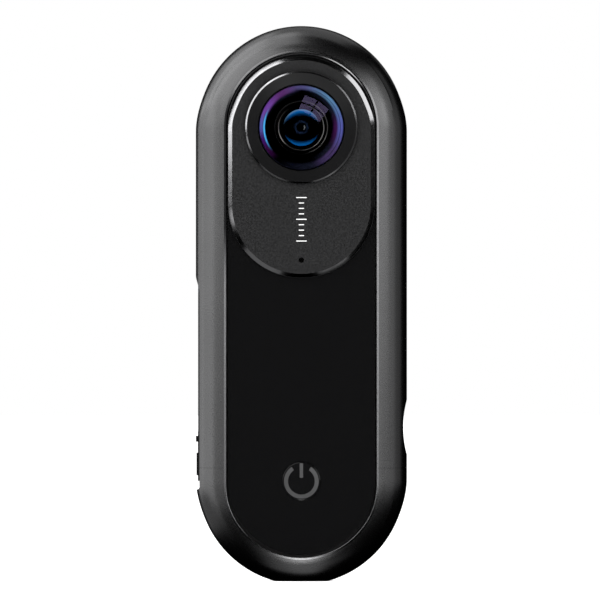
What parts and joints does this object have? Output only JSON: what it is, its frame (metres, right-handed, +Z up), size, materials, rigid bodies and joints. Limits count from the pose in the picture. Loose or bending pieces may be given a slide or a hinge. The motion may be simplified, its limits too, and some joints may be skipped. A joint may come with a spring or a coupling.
{
  "type": "action camera",
  "caption": "Slim upright pill-shaped action camera with a fisheye lens on each face, a round shutter button, a sliding phone plug and a tripod socket.",
  "frame": {"origin": "middle of the base, at the foot's flat", "axes": "+Z up along the body, -Y out of the front face (the one with the shutter button), +X to the right seen from the front"},
  "size_m": [0.0364, 0.025, 0.096],
  "materials": {
    "frame": "satin black anodised, fine bead-blasted grain",
    "lens_plate": "dark satin anodised with a polished edge",
    "gloss_panel": "gloss black",
    "button": "gloss black with a printed grey symbol",
    "bezel": "dark satin anodised with a polished edge",
    "dome_glass": "coated optical glass",
    "inner_glass": "coated optical glass",
    "black_plastic": "fine-grained black",
    "grey_plastic": "moulded grey",
    "board": "green circuit board",
    "chip": "black package",
    "steel": "bright",
    "brass": "turned",
    "cell": "foil pouch",
    "flex": "amber film",
    "card": "black",
    "light": "translucent white"
  },
  "bodies": {
    "camera_body": {"frame_shell": "frame", "base_cap": "frame", "front_lens_plate": "lens_plate", "rear_lens_plate": "lens_plate", "front_panel": "gloss_panel", "rear_panel": "gloss_panel", "front_lens_bezel": "bezel", "rear_lens_bezel": "bezel", "front_dome_lens": "dome_glass", "rear_dome_lens": "dome_glass", "front_inner_lens": "inner_glass", "front_fold_prism": "inner_glass", "front_relay_lens": "inner_glass", "rear_inner_lens": "inner_glass", "rear_fold_prism": "inner_glass", "rear_relay_lens": "inner_glass", "front_lens_barrel": "black_plastic", "rear_lens_barrel": "black_plastic", "front_carrier": "black_plastic", "rear_carrier": "black_plastic", "optics_housing": "black_plastic", "side_strip": "black_plastic", "plug_port_trim": "black_plastic", "mid_chassis": "grey_plastic", "mechanism_cover": "grey_plastic", "battery_plug": "grey_plastic", "front_sensor_board": "board", "rear_sensor_board": "board", "main_board": "board", "button_board": "board", "front_image_sensor": "chip", "rear_image_sensor": "chip", "processor": "chip", "motion_sensor": "chip", "carrier_screw_1": "steel", "carrier_screw_2": "steel", "carrier_screw_3": "steel", "carrier_screw_4": "steel", "carrier_screw_5": "steel", "carrier_screw_6": "steel", "shield_can": "steel", "microphone": "steel", "radio_module": "steel", "button_switch": "steel", "card_socket": "steel", "charging_socket": "steel", "pinion_axle": "steel", "tripod_nut": "brass", "antenna": "brass", "battery": "cell", "front_sensor_flex": "flex", "rear_sensor_flex": "flex", "status_light": "light"},
    "slider": {"slider_knob": "black_plastic", "slider_rack": "grey_plastic"},
    "pinion": {"pinion": "brass"},
    "plug": {"plug_carriage": "grey_plastic", "phone_plug": "steel"},
    "shutter_button": {"shutter_button": "button"},
    "memory_card": {"memory_card": "card"}
  },
  "joints": [
    {"name": "slider_slide", "type": "slide", "parent": "camera_body", "child": "slider", "axis": [0, 0, 1], "range_m": [0, 0.008]},
    {"name": "pinion_spin", "type": "hinge", "parent": "camera_body", "child": "pinion", "pos_m": [-0.002, 0, 0.019], "axis": [0, 1, 0], "range_deg": [0, 184]},
    {"name": "plug_slide", "type": "slide", "parent": "camera_body", "child": "plug", "axis": [1, 0, 0], "range_m": [0, 0.0081]},
    {"name": "shutter_press", "type": "slide", "parent": "camera_body", "child": "shutter_button", "axis": [0, 1, 0], "range_m": [0, 0.00035], "stiffness_N_per_m": 3000, "springref_m": -0.0001},
    {"name": "card_slide", "type": "slide", "parent": "camera_body", "child": "memory_card", "axis": [-1, 0, 0], "range_m": [0, 0.016]}
  ],
  "couplings": [
    {"joint": "pinion_spin", "follows": "slider_slide", "rad_per_m": 400},
    {"joint": "plug_slide", "follows": "slider_slide", "ratio": 1}
  ]
}
